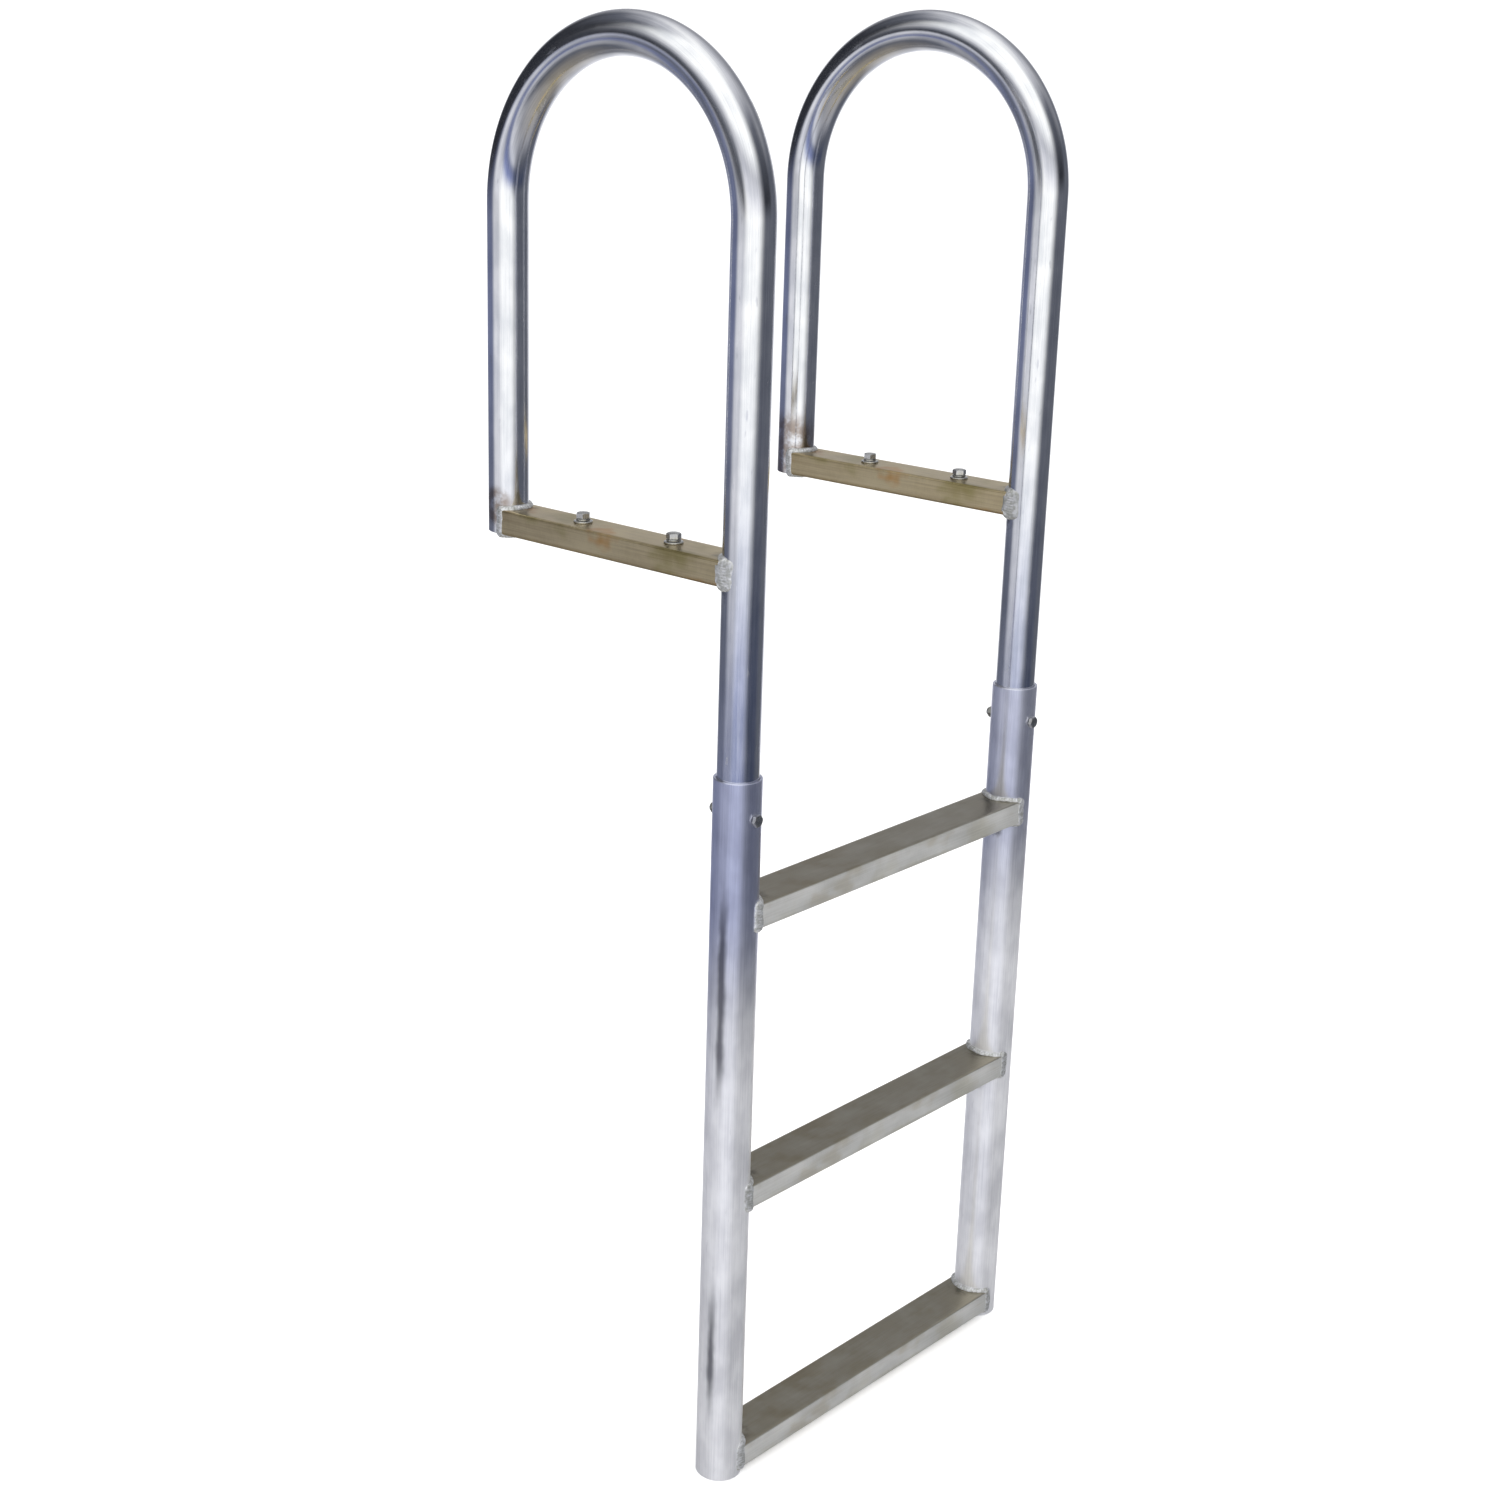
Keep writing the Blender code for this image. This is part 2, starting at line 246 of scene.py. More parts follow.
def handrail_line(node):
    """The bent tube's axis, its section's two directions and the length along it."""
    low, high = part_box(node)
    radius = (high.x - low.x) / 2
    x = (low.x + high.x) / 2
    front, back = low.y + radius, high.y - radius
    bend = (back - front) / 2
    spring = high.z - radius - bend
    centres, up, lengths = [], [], []
    for i in range(LEG_RINGS):
        z = low.z + (spring - low.z) * i / LEG_RINGS
        centres.append((x, front, z))
        up.append((0, -1, 0))
        lengths.append(z - low.z)
    for i in range(BEND_RINGS + 1):
        angle = math.pi * i / BEND_RINGS
        out = (0, -math.cos(angle), math.sin(angle))
        centres.append((x, front + bend + bend * out[1], spring + bend * out[2]))
        up.append(out)
        lengths.append(spring - low.z + bend * angle)
    back_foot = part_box(node.replace("handrail", "deck_bar"))[0].z
    for i in range(1, LEG_RINGS + 1):
        z = spring + (back_foot - spring) * i / LEG_RINGS
        centres.append((x, back, z))
        up.append((0, 1, 0))
        lengths.append(spring - low.z + bend * math.pi + spring - z)
    across = [(1, 0, 0)] * len(centres)
    return np.array(centres), np.array(across, float), np.array(up, float), lengths, radius


def make_handrail(side, material):
    node = f"handrail_{side}"
    centres, across, up, lengths, radius = handrail_line(node)
    # Across is turned round, so that across x up points along the path.
    tube = tube_skin(f"handrail_tube_{side}", centres, -across, up, lengths, radius, HAND_TUBE_WALL)
    return finished(tube, body_of_node(node), "bright_aluminium", material, node)


def make_lower_rail(side, material):
    node = f"lower_rail_{side}"
    low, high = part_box(node)
    radius = (high.x - low.x) / 2
    heights = np.linspace(low.z, high.z, RAIL_RINGS)
    middle = (low + high) / 2
    centres = np.array([(middle.x, middle.y, z) for z in heights])
    across = np.tile((1.0, 0.0, 0.0), (RAIL_RINGS, 1))
    up = np.tile((0.0, 1.0, 0.0), (RAIL_RINGS, 1))
    lengths = heights - low.z
    tube = tube_skin(f"side_rail_{side}", centres, across, up, lengths, radius, LOWER_TUBE_WALL)
    return finished(tube, body_of_node(node), "satin_aluminium", material, node)


def rounded_outline(width, height, corner, flat_points=14, corner_points=7):
    """A rounded rectangle's points about the origin, along its flats too, and their outward normals."""
    points, normals = [], []
    for side in range(4):
        turn = math.pi / 2 * side
        along, out = (height, width) if side % 2 == 0 else (width, height)
        half_flat = along / 2 - corner
        for i in range(flat_points):
            t = -half_flat + 2 * half_flat * i / flat_points
            points.append((out / 2, t, turn))
            normals.append(turn)
        for i in range(corner_points):
            angle = math.pi / 2 * i / corner_points
            x = out / 2 - corner + corner * math.cos(angle)
            y = half_flat + corner * math.sin(angle)
            points.append((x, y, turn))
            normals.append(turn + angle)
    turned = [
        (x * math.cos(t) - y * math.sin(t), x * math.sin(t) + y * math.cos(t))
        for x, y, t in points
    ]
    return np.array(turned), np.array([(math.cos(n), math.sin(n)) for n in normals])


def cope_offsets(sideways, tube_radius):
    """How far a box tube's end is from the round tube's axis, at each distance beside that axis."""
    reach = tube_radius + JOINT_GAP
    inside = np.clip(reach**2 - sideways**2, 0, None)
    return np.maximum(np.sqrt(inside), BOX_TUBE_END_INSET)


class CopedBar:
    """A box tube between two parallel round tubes, coped round them. Its section lies in (side, rise)."""

    def __init__(self, start, end, side, rise, width, height, tube_radius):
        self.start, self.end = np.array(start, float), np.array(end, float)
        self.side, self.rise = np.array(side, float), np.array(rise, float)
        self.width, self.height, self.tube_radius = width, height, tube_radius
        self.along = self.end - self.start
        self.length = np.linalg.norm(self.along)
        self.along /= self.length

    def point(self, section, distance):
        return (
            self.start
            + section[:, :1] * self.side
            + section[:, 1:] * self.rise
            + distance[:, None] * self.along
        )

    def stations(self, section):
        """Distances along the bar: the near cope, the straight stretch and the far cope."""
        cope = cope_offsets(section[:, 0], self.tube_radius)
        clear = self.tube_radius + BAR_END_MARGIN
        flat = np.ones(len(section))
        rows = [cope]
        rows += [flat * d for d in np.linspace(clear, self.length - clear, BAR_RINGS)]
        rows.append(self.length - cope)
        return rows

    def mesh(self, name):
        outer, _ = rounded_outline(self.width, self.height, BOX_TUBE_CORNER)
        inner, _ = rounded_outline(
            self.width - 2 * BOX_TUBE_WALL, self.height - 2 * BOX_TUBE_WALL, BOX_TUBE_CORNER / 2
        )
        rings, straight = [], []
        for section, rows in ((outer, self.stations(outer)), (inner, self.stations(inner)[::-1])):
            for distance in rows:
                rings.append(self.point(section, distance))
                straight.append(np.column_stack([section, distance]))
        return skin(name, rings, straight, path_closed=True)

    def weld_line(self, far):
        """The closed line where one end meets its round tube, with the outward directions of both."""
        section, normals = rounded_outline(self.width, self.height, BOX_TUBE_CORNER, 40, 8)
        cope = cope_offsets(section[:, 0], self.tube_radius)
        line = self.point(section, self.length - cope if far else cope)
        bar_out = normals[:, :1] * self.side + normals[:, 1:] * self.rise
        axis = self.end if far else self.start
        tube_out = line - axis
        tube_out -= (tube_out @ self.rise)[:, None] * self.rise
        return line, bar_out, tube_out / np.linalg.norm(tube_out, axis=1)[:, None]


def step_bar(name):
    low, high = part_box(f"step_{name}")
    left, right = centre_of("lower_rail_left"), centre_of("lower_rail_right")
    rail_low, rail_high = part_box("lower_rail_left")
    radius = (rail_high.x - rail_low.x) / 2
    z = (low.z + high.z) / 2
    start, end = (left.x, left.y, z), (right.x, right.y, z)
    return CopedBar(start, end, (0, -1, 0), (0, 0, 1), high.y - low.y, high.z - low.z, radius)


def deck_bar(side):
    low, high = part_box(f"deck_bar_{side}")
    centres, _, _, _, radius = handrail_line(f"handrail_{side}")
    z = (low.z + high.z) / 2
    start, end = (centres[0][0], centres[0][1], z), (centres[-1][0], centres[-1][1], z)
    return CopedBar(start, end, (1, 0, 0), (0, 0, 1), high.x - low.x, high.z - low.z, radius)


# ---------------------------------------------------------------- welds

def smooth_noise(count, waves, seed):
    """A gentle closed curve of small random waves, from -1 to 1."""
    draw = np.random.default_rng(seed)
    t = circle(count)
    total = np.zeros(count)
    for wave in range(1, waves + 1):
        total += draw.normal() * np.sin(wave * t + draw.uniform(0, 2 * math.pi)) / wave**0.5
    return total / max(np.abs(total).max(), 1e-9)


def rounded_off(values, reach):
    """The closed row of values with each one averaged over its neighbours."""
    weights = np.hanning(2 * reach + 3)[1:-1]
    padded = np.concatenate([values[-reach:], values, values[:reach]])
    return np.convolve(padded, weights / weights.sum(), "valid")


def unit(vectors):
    return vectors / np.linalg.norm(vectors, axis=1)[:, None]


def evenly(columns, spacing):
    """A closed line's points, with their other columns beside them, at an even spacing."""
    closed = np.vstack([columns, columns[:1]])
    steps = np.linalg.norm(np.diff(closed[:, :3], axis=0), axis=1)
    length = np.concatenate([[0], np.cumsum(steps)])
    count = max(24, round(length[-1] / spacing))
    at = np.arange(count) * length[-1] / count
    return np.column_stack([np.interp(at, length, column) for column in closed.T]), at


def make_weld(name, bar, far, material, seed, width, height, wrap, creep):
    """A fillet bead all round a bar's end, as one closed skin with its ripples.

    At the bar's two sides it also fills the slot to the round tube: there the bead's half
    width grows by wrap, and its middle moves by creep towards the tube's far side.
    """
    columns, at = evenly(np.hstack(bar.weld_line(far)), WELD_SPACING)
    line, bar_out, tube_out = columns[:, :3], unit(columns[:, 3:6]), unit(columns[:, 6:])
    away = -bar.along if far else bar.along
    axis = bar.end if far else bar.start
    from_axis = line - axis
    from_axis -= (from_axis @ bar.rise)[:, None] * bar.rise
    slot = np.clip(np.linalg.norm(from_axis, axis=1) - bar.tube_radius - JOINT_GAP, 0, None)
    beside = rounded_off(slot / slot.max(), 7)
    line = line - tube_out * (0.6 * slot)[:, None] - away * (creep * beside)[:, None]
    line = np.column_stack([rounded_off(column, 4) for column in line.T])
    out = unit(bar_out + tube_out * (1 - beside)[:, None] - away * (0.16 * beside)[:, None])
    ahead = unit(np.roll(line, -1, axis=0) - np.roll(line, 1, axis=0))
    across = unit(np.cross(ahead, out))
    wander = smooth_noise(len(line), 9, seed)
    swell = smooth_noise(len(line), 23, seed + 1)
    half_width = (width / 2 + wrap * beside) * (1 + 0.14 * swell)
    # Where bar and tube stand nearly flush, the bead lies flat; in a corner it stands up between them.
    corner = 1 - np.clip(np.sum(bar_out * tube_out, axis=1), 0, 1)
    lift = 0.2 * height + 0.15 * width * corner
    centre = line + out * lift[:, None] + across * (WELD_WANDER * wander)[:, None]
    rings, straight = [], []
    for angle in circle(WELD_SIDES):
        c, s = math.cos(angle), math.sin(angle)
        # Each ripple is a crescent, so it trails at the bead's two toes.
        phase = (at + 0.45 * width * c * c) / RIPPLE_PITCH
        ripple = 1 - np.abs(2 * (phase % 1) - 1) ** 2.2
        rise = height * (0.80 + 0.26 * ripple) * (1 + 0.14 * wander)
        rings.append(centre + across * (half_width * c)[:, None] + out * (rise * s)[:, None])
        straight.append(np.column_stack([half_width * c, rise * s, at]))
    rings = np.array(rings).transpose(1, 0, 2)
    straight = np.array(straight).transpose(1, 0, 2)
    bead = skin(name, rings, straight, path_closed=True)
    return finished(bead, "frame", "satin_aluminium", material)


# ---------------------------------------------------------------- fasteners

def hex_radius(angles, flats):
    """The distance from a hexagon's centre to its side, at each angle."""
    sector = math.pi / 3
    return flats / 2 / np.cos((angles % sector) - sector / 2)


def turned_rings(rows, angles):
    """Rings about the Z axis from rows of (radius or radii, height or heights)."""
    rings = []
    for radius, height in rows:
        radius = np.broadcast_to(radius, angles.shape)
        height = np.broadcast_to(height, angles.shape)
        rings.append(np.column_stack([radius * np.cos(angles), radius * np.sin(angles), height]))
    return np.array(rings)


def chamfered(flats, height, angles):
    """Rows down a hex's end: the flat circle, and the cone that cuts the hex's corners."""
    corner = hex_radius(angles, flats)
    circle_radius = 0.94 * flats / 2
    rows = [(0.35 * circle_radius, height), (circle_radius, height)]
    for share in (0.35, 0.7, 1.0):
        radius = circle_radius + (corner - circle_radius) * share
        rows.append((radius, height - (radius - circle_radius) * HEX_CHAMFER))
    return rows


def threaded_rows(radius, top, tip, thread_top, pitch, angles):
    """A shank from top down to tip, with a cut thread below thread_top and a pointed end."""
    depth = 0.54 * pitch
    rows = [(radius, top), (radius, thread_top + pitch)]
    count = max(2, round((thread_top - tip) / pitch * THREAD_RINGS_PER_TURN))
    for i in range(count + 1):
        z = thread_top + (tip - thread_top) * i / count
        phase = (z / pitch - angles / (2 * math.pi)) % 1
        groove = np.abs(2 * phase - 1)
        fade = min(1.0, (thread_top - z) / pitch)
        cut = depth * fade * np.clip(1.15 * groove - 0.08, 0, 1)
        taper = max(0.0, THREAD_POINT - (z - tip)) * 0.9
        rows.append((radius - np.maximum(cut, taper), z))
    rows.append((0.35 * radius, tip))
    return rows


def make_bolt(node, direction, spin, flats, head, radius, thread, pitch, material):
    """A hex bolt in its node's place, its head towards the direction and its shank away from it."""
    low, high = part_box(node)
    axis = Vector(direction)
    tip = head - abs((high - low).dot(axis))
    angles = circle(HEX_SIDES)
    corner = hex_radius(angles, flats)
    rows = chamfered(flats, head, angles)
    rows += [(corner, 0.0004), (corner - 0.0003, 0.0), (radius, 0.0)]
    rows += threaded_rows(radius, -0.0002, tip, tip + thread, pitch, angles)
    rings = turned_rings(rows, angles)
    end = max(low.dot(axis), high.dot(axis))
    place = (low + high) / 2
    place += axis * (end - head - place.dot(axis))
    turn = axis.to_track_quat("Z", "Y").to_matrix().to_4x4()
    matrix = Matrix.Translation(place) @ turn @ Matrix.Rotation(math.radians(spin), 4, "Z")
    bolt = skin(node.replace("_bolt", "_screw"), rings, rings)
    bolt.data.transform(matrix)
    return finished(bolt, body_of_node(node), "fastener_steel", material, node)


def make_nut(node, direction, flats, hex_height, bore, material):
    """A lock nut: a hex with its corners cut at both ends, under a domed collar."""
    low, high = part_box(node)
    axis = Vector(direction)
    height = abs((high - low).dot(axis))
    angles = circle(HEX_SIDES)
    corner = hex_radius(angles, flats)
    washer_face = 0.95 * flats / 2
    collar = 0.93 * flats / 2
    rows = [
        (bore, 0.0003),
        (bore + 0.0003, 0.0),
        (washer_face, 0.0),
        (corner, (corner - washer_face) * HEX_CHAMFER),
        (corner, hex_height - (corner - collar) * HEX_CHAMFER),
        (collar, hex_height),
        (collar - 0.0002, hex_height + 0.0009),
        (collar - 0.0006, height - 0.0009),
        (collar - 0.0010, height - 0.0003),
        (collar - 0.0015, height),
        (bore + 0.0008, height),
        (bore, height - 0.0006),
    ]
    rings = turned_rings(rows, angles)
    start = min(low.dot(axis), high.dot(axis))
    place = (low + high) / 2
    place += axis * (start - place.dot(axis))
    turn = axis.to_track_quat("Z", "Y").to_matrix().to_4x4()
    nut = skin(node.replace("_nut", "_locknut"), rings, rings, path_closed=True)
    nut.data.transform(Matrix.Translation(place) @ turn)
    return finished(nut, body_of_node(node), "fastener_steel", material, node)


def make_washer(node, material):
    """A flat punched washer, its upper edge rolled over and its lower edge sharper."""
    low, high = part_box(node)
    bore = WASHER_BORE
    outer = (high.x - low.x) / 2
    thick = high.z - low.z
    edge = 0.0004
    rows = [
        (bore, edge),
        (bore, thick - edge),
        (bore + edge, thick),
        (outer - 1.6 * edge, thick),
        (outer - 0.5 * edge, thick - 0.4 * edge),
        (outer, thick - edge),
        (outer, 0.3 * edge),
        (outer - 0.3 * edge, 0),
        (bore + edge, 0),
    ]
    rings = turned_rings(rows, circle(WASHER_SIDES))
    washer = skin(node.replace("flat_washer", "plain_washer"), rings, rings, path_closed=True)
    washer.data.transform(Matrix.Translation((centre_of(node).x, centre_of(node).y, low.z)))
    return finished(washer, body_of_node(node), "fastener_steel", material, node)


def make_lock_washer(node, spin, material):
    """A spring ring of square wire, cut with a slanted split whose two ends stand a little apart."""
    low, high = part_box(node)
    bore = WASHER_BORE
    outer = (high.x - low.x) / 2
    thick = high.z - low.z
    section = thick - 0.0003
    gap = 0.0012 / outer
    corner = 0.0003
    outline, _ = rounded_outline(outer - bore, section, corner, 2, 3)
    rings, straight = [], []
    for i in range(SPLIT_RINGS + 1):
        share = i / SPLIT_RINGS
        turn = gap / 2 + (2 * math.pi - gap) * share
        rise = low.z + section / 2 + (thick - section) * share
        radius = (outer + bore) / 2 + outline[:, 0]
        # The split leans, so the upper half of each end face is further round.
        angle = turn + 0.55 * outline[:, 1] / outer * (1 - 2 * share) ** 8
        height = rise + outline[:, 1]
        rings.append(np.column_stack([radius * np.cos(angle), radius * np.sin(angle), height]))
        straight.append(np.column_stack([outline, np.full(len(outline), turn * outer)]))
    ring = skin(node.replace("lock_washer", "spring_washer"), rings, straight)
    centre = centre_of(node)
    spot = Matrix.Translation((centre.x, centre.y, 0))
    ring.data.transform(spot @ Matrix.Rotation(math.radians(spin), 4, "Z"))
    return finished(ring, body_of_node(node), "fastener_steel", material, node)


# ---------------------------------------------------------------- materials

class Graph:
    """A small helper that adds nodes and links to a node tree."""

    def __init__(self, tree):
        self.tree = tree

    def node(self, kind, **settings):
        made = self.tree.nodes.new(kind)
        for key, value in settings.items():
            setattr(made, key, value)
        return made

    def feed(self, socket, value):
        if isinstance(value, bpy.types.NodeSocket):
            self.tree.links.new(value, socket)
        else:
            socket.default_value = value

    def maths(self, operation, *values):
        made = self.node("ShaderNodeMath", operation=operation)
        for socket, value in zip(made.inputs, values):
            self.feed(socket, value)
        return made.outputs[0]

    def weighted(self, *terms):
        """The sum of the values, each times its own weight."""
        total = None
        for value, weight in terms:
            term = self.maths("MULTIPLY", value, weight)
            total = term if total is None else self.maths("ADD", total, term)
        return total

    def parts(self, vector):
        """The vector's X, Y and Z."""
        made = self.node("ShaderNodeSeparateXYZ")
        self.feed(made.inputs[0], vector)
        return made.outputs

    def smooth(self, value, low, high, to_low=0.0, to_high=1.0):
        made = self.node("ShaderNodeMapRange", interpolation_type="SMOOTHSTEP")
        for name, given in (
            ("Value", value),
            ("From Min", low),
            ("From Max", high),
            ("To Min", to_low),
            ("To Max", to_high),
        ):
            self.feed(made.inputs[name], given)
        return made.outputs[0]

    def mix(self, share, first, second, blend="MIX"):
        made = self.node("ShaderNodeMix", data_type="RGBA", blend_type=blend)
        self.feed(made.inputs[0], share)
        self.feed(made.inputs[6], first)
        self.feed(made.inputs[7], second)
        return made.outputs[2]

    def noise(self, vector, scale, stretch, detail, rough, seed):
        mapping = self.node("ShaderNodeMapping")
        self.feed(mapping.inputs["Vector"], vector)
        mapping.inputs["Scale"].default_value = stretch
        mapping.inputs["Location"].default_value = (seed, seed * 0.7, seed * 1.3)
        made = self.node("ShaderNodeTexNoise")
        self.feed(made.inputs["Vector"], mapping.outputs[0])
        made.inputs["Scale"].default_value = scale
        made.inputs["Detail"].default_value = detail
        made.inputs["Roughness"].default_value = rough
        return made.outputs["Fac"]

    def straight(self):
        return self.node("ShaderNodeAttribute", attribute_name="straight").outputs["Vector"]

    def place(self):
        return self.node("ShaderNodeTexCoord").outputs["Object"]


def linear(code):
    """A six-digit hex colour as linear RGBA."""
    values = [int(code[i : i + 2], 16) / 255 for i in (0, 2, 4)]
    return tuple(v / 12.92 if v <= 0.04045 else ((v + 0.055) / 1.055) ** 2.4 for v in values) + (1.0,)


def new_material(name):
    material = bpy.data.materials.new(name)
    material.use_nodes = True
    shader = material.node_tree.nodes["Principled BSDF"]
    shader.inputs["Metallic"].default_value = 1.0
    return material, Graph(material.node_tree), shader


def bump(graph, shader, height, strength, distance):
    made = graph.node("ShaderNodeBump")
    made.inputs["Strength"].default_value = strength
    made.inputs["Distance"].default_value = distance
    graph.feed(made.inputs["Height"], height)
    graph.feed(shader.inputs["Normal"], made.outputs[0])


def drawn_tube(name, light, dark, reflected_tint, rough, seed, marks, haze, drags):
    """Drawn aluminium tube: fine lengthwise die lines, cloudy handling marks, a few short scuffs.

    The tint is a painted blue reflection, a colour that the tube's upper part takes on. Haze is the share
    of dull white oxide, high up and low down. Marks are pairs of spots and the mark that welding left
    there.
    """
    material, graph, shader = new_material(name)
    along = graph.straight()
    lines = graph.noise(along, scale=900, stretch=(1, 1, 0.012), detail=4, rough=0.6, seed=seed)
    fine = graph.noise(along, scale=2600, stretch=(1, 1, 0.02), detail=2, rough=0.5, seed=seed + 3)
    clouds = graph.noise(along, scale=16, stretch=(1, 1, 0.35), detail=4, rough=0.6, seed=seed + 5)
    blotch = graph.noise(along, scale=55, stretch=(1, 1, 0.5), detail=2, rough=0.5, seed=seed + 8)
    scuffs = graph.noise(along, scale=210, stretch=(1, 1, 0.22), detail=2, rough=0.5, seed=seed + 11)
    scuffs = graph.smooth(scuffs, 0.66, 0.76)
    height = graph.parts(graph.place())["Z"]

    tone = graph.smooth(graph.weighted((lines, 0.45), (blotch, 0.55)), 0.32, 0.68)
    colour = graph.mix(tone, linear(dark), linear(light))
    colour = graph.mix(graph.maths("MULTIPLY", scuffs, 0.35), colour, linear(dark))
    for spots, mark in marks:
        colour = welding_marks(graph, colour, spots, mark, seed)
    for drag in drags:
        colour = graph.mix(drag_mark(graph, along, blotch, *drag), colour, linear(DRAG_COLOUR))
    # The upper part takes a painted blue reflection, tinted into its colour.
    upper = graph.smooth(height, BLUE_REFLECTION_LOW_Z, HIGH_Z)
    colour = graph.mix(upper, colour, linear(reflected_tint), "MULTIPLY")
    graph.feed(shader.inputs["Base Color"], colour)

    wear = graph.smooth(graph.weighted((clouds, 0.6), (lines, 0.4)), 0.3, 0.7, *rough)
    wear = graph.maths("ADD", wear, graph.maths("MULTIPLY", scuffs, 0.12))
    graph.feed(shader.inputs["Roughness"], wear)
    haze_high, haze_low = haze
    dull = graph.smooth(height, HAZE_LOW_Z, HIGH_Z, haze_low, haze_high)
    dull = graph.maths("MULTIPLY", dull, graph.smooth(clouds, 0.3, 0.7, 0.8, 1.2))
    graph.feed(shader.inputs["Metallic"], graph.maths("SUBTRACT", 1.0, dull))
    relief = graph.weighted((lines, 1.0), (fine, 0.3))
    bump(graph, shader, relief, strength=0.07, distance=0.0004)
    return material


def drag_mark(graph, along, patch, degrees, low, high):
    """The share of one long dark smear, at its place round the tube, ragged at its edges."""
    x, y, length = graph.parts(along)
    turn = graph.maths("ARCTAN2", y, x)
    gap = graph.maths("ABSOLUTE", graph.maths("SUBTRACT", turn, math.radians(degrees)))
    ragged = graph.maths("MULTIPLY", graph.maths("SUBTRACT", patch, 0.5), 0.25)
    share = graph.smooth(graph.maths("ADD", gap, ragged), 0.02, 0.28, 0.85, 0.0)
    start = graph.smooth(length, low, low + 0.07)
    stop = graph.smooth(length, high - 0.09, high, 1.0, 0.0)
    return graph.maths("MULTIPLY", share, graph.maths("MULTIPLY", start, stop))


def welding_marks(graph, colour, spots, mark, seed):
    """The colour with a patchy mark over it that fades with the distance from each joint."""
    stain, begins, full = mark
    place = graph.place()
    patch = graph.noise(place, scale=70, stretch=(1, 1, 1), detail=4, rough=0.65, seed=seed + 17)
    total = None
    for spot, reach in spots:
        gap = graph.node("ShaderNodeVectorMath", operation="DISTANCE")
        graph.feed(gap.inputs[0], place)
        gap.inputs[1].default_value = spot
        near = graph.smooth(gap.outputs["Value"], reach * 0.55, reach, 1.0, 0.0)
        total = near if total is None else graph.maths("MAXIMUM", total, near)
    share = graph.maths("MULTIPLY", total, graph.smooth(patch, begins, full, 0.0, 0.75))
    return graph.mix(share, colour, linear(stain))


def extruded_bar(name, light, dark, stained, rusty, top_shade_and_grime, haze, rough, seed, spots):
    """Mill-finish box tube: extrusion lines, faint rub marks, stained patches and a top face darkened by
    painted shade with some dirt.
    """
    material, graph, shader = new_material(name)
    along = graph.straight()
    lines = graph.noise(along, scale=700, stretch=(1, 1, 0.015), detail=4, rough=0.6, seed=seed)
    rubs = graph.noise(along, scale=420, stretch=(0.06, 0.3, 1), detail=3, rough=0.6, seed=seed + 2)
    stains = graph.noise(along, scale=26, stretch=(1, 1, 0.5), detail=3, rough=0.55, seed=seed + 4)
    tint = graph.noise(along, scale=17, stretch=(1, 1, 0.7), detail=3, rough=0.6, seed=seed + 6)
    rise = graph.parts(along)["Y"]

    tone = graph.smooth(graph.weighted((lines, 0.35), (stains, 0.55), (rubs, 0.1)), 0.32, 0.68)
    colour = graph.mix(tone, linear(dark), linear(light))
    colour = graph.mix(graph.smooth(tint, 0.50, 0.68), colour, linear(stained), "MULTIPLY")
    colour = graph.mix(graph.smooth(tint, 0.46, 0.34), colour, linear(rusty), "MULTIPLY")
    # The underside and the lowest strip of each side turn patchily darker.
    foot = graph.smooth(rise, *FOOT_RISE, 0.55, 0.0)
    foot = graph.maths("MULTIPLY", foot, graph.smooth(stains, 0.3, 0.6))
    colour = graph.mix(foot, colour, linear(dark), "MULTIPLY")
    # Painted shade, with some dirt: the top face's colour is darkened to stand in for the dimmer
    # reflections it takes.
    top = graph.smooth(rise, *SHADED_TOP_RISE)
    top = graph.maths("MULTIPLY", top, graph.smooth(stains, 0.25, 0.60, 0.80, 1.0))
    colour = graph.mix(top, colour, linear(top_shade_and_grime), "MULTIPLY")
    colour = welding_marks(graph, colour, spots, BAR_SOOT, seed)
    graph.feed(shader.inputs["Base Color"], colour)

    wear = graph.smooth(graph.weighted((stains, 0.7), (rubs, 0.3)), 0.3, 0.7, *rough)
    graph.feed(shader.inputs["Roughness"], wear)
    dull = graph.maths("MULTIPLY", graph.maths("SUBTRACT", 1.0, top), haze)
    dull = graph.maths("MULTIPLY", dull, graph.smooth(stains, 0.3, 0.7, 0.92, 1.08))
    graph.feed(shader.inputs["Metallic"], graph.maths("SUBTRACT", 1.0, dull))
    bump(graph, shader, lines, strength=0.08, distance=0.0004)
    return material


def weld_metal(name, seed):
    """As-welded bead: bright crests, dull smutty toes and a granular skin."""
    material, graph, shader = new_material(name)
    place = graph.place()
    grain = graph.noise(place, scale=2400, stretch=(1, 1, 1), detail=4, rough=0.6, seed=seed)
    patch = graph.noise(place, scale=260, stretch=(1, 1, 1), detail=3, rough=0.6, seed=seed + 4)
    pointiness = graph.node("ShaderNodeNewGeometry").outputs["Pointiness"]
    crest = graph.smooth(pointiness, 0.44, 0.56)
    colour = graph.mix(graph.smooth(patch, 0.35, 0.65), linear("b9bab6"), linear("e6e7ea"))
    smut = graph.maths("MULTIPLY", graph.maths("SUBTRACT", 1.0, crest), 0.5)
    colour = graph.mix(smut, colour, linear("6f6f69"))
    graph.feed(shader.inputs["Base Color"], colour)
    graph.feed(shader.inputs["Roughness"], graph.smooth(grain, 0.3, 0.7, 0.28, 0.48))
    shader.inputs["Metallic"].default_value = 0.68
    bump(graph, shader, grain, strength=0.22, distance=0.0003)
    return material


